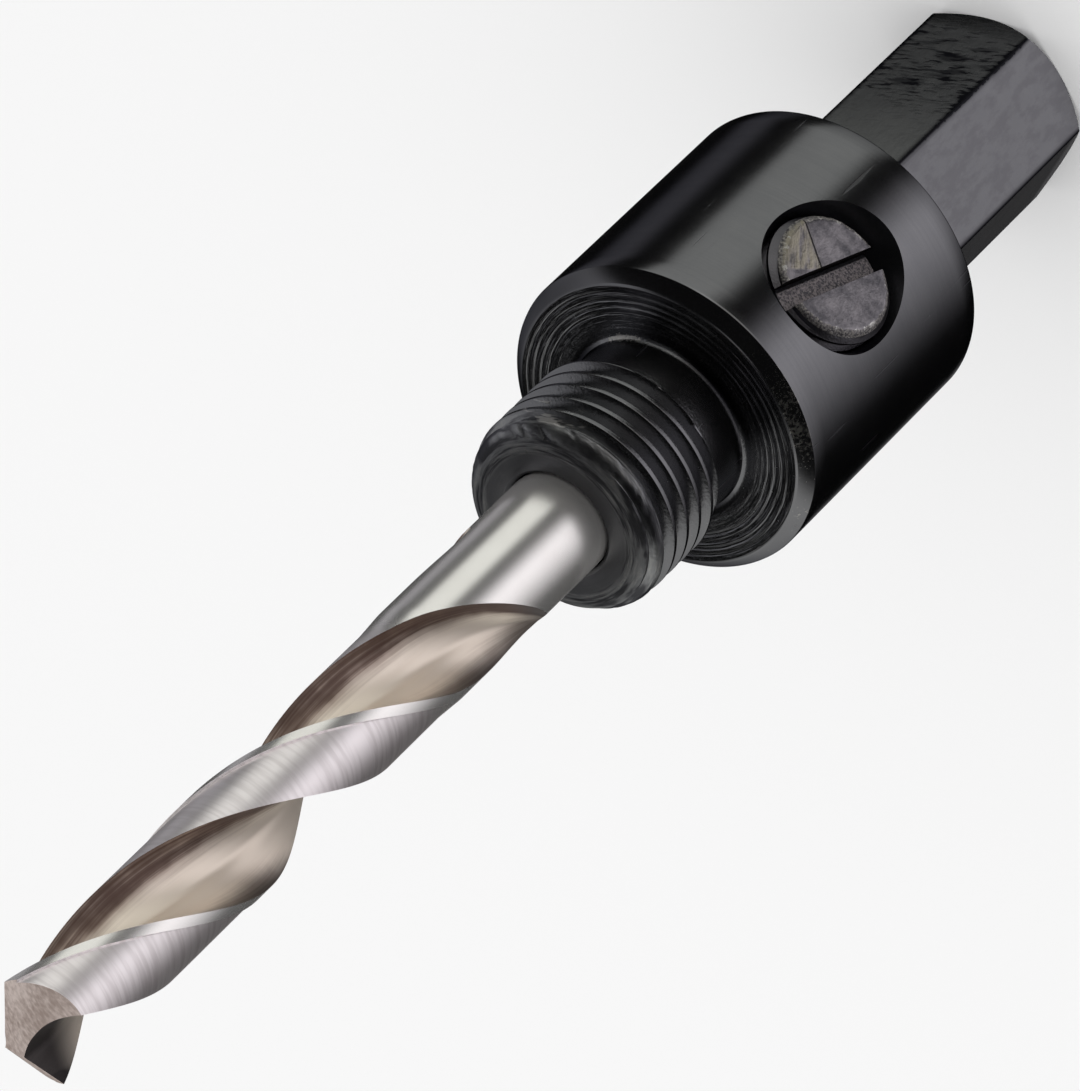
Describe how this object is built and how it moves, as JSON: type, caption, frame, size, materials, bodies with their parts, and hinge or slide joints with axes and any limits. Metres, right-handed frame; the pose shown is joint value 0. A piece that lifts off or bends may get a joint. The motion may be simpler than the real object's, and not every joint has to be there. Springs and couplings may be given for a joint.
{
  "type": "hole saw arbor",
  "caption": "Hole saw arbor: hex shank, round collar and threaded nose in one black steel body, with a twist pilot drill held by a slotted set screw.",
  "frame": {"origin": "centre of the hex shank's end face, on which the arbor stands", "axes": "+Z along the axis from the shank to the drill point; -Y through the set screw"},
  "size_m": [0.0198, 0.0196, 0.099],
  "materials": {
    "black_oxide_steel": "turned and milled steel, black oxide with a light oil sheen",
    "ground_tool_steel": "ground bright, flutes tinted light bronze",
    "screw_steel": "dark grey, worn bright at the edges"
  },
  "bodies": {
    "arbor": {"arbor_body": "black_oxide_steel"},
    "drill": {"pilot_drill": "ground_tool_steel"},
    "screw": {"set_screw": "screw_steel"}
  },
  "joints": [
    {"name": "drill_draw", "type": "slide", "parent": "arbor", "child": "drill", "axis": [0, 0, 1], "range_m": [0, 0.0287]},
    {"name": "screw_back_off", "type": "slide", "parent": "arbor", "child": "screw", "axis": [0, -1, 0], "range_m": [0, 0.006]}
  ]
}
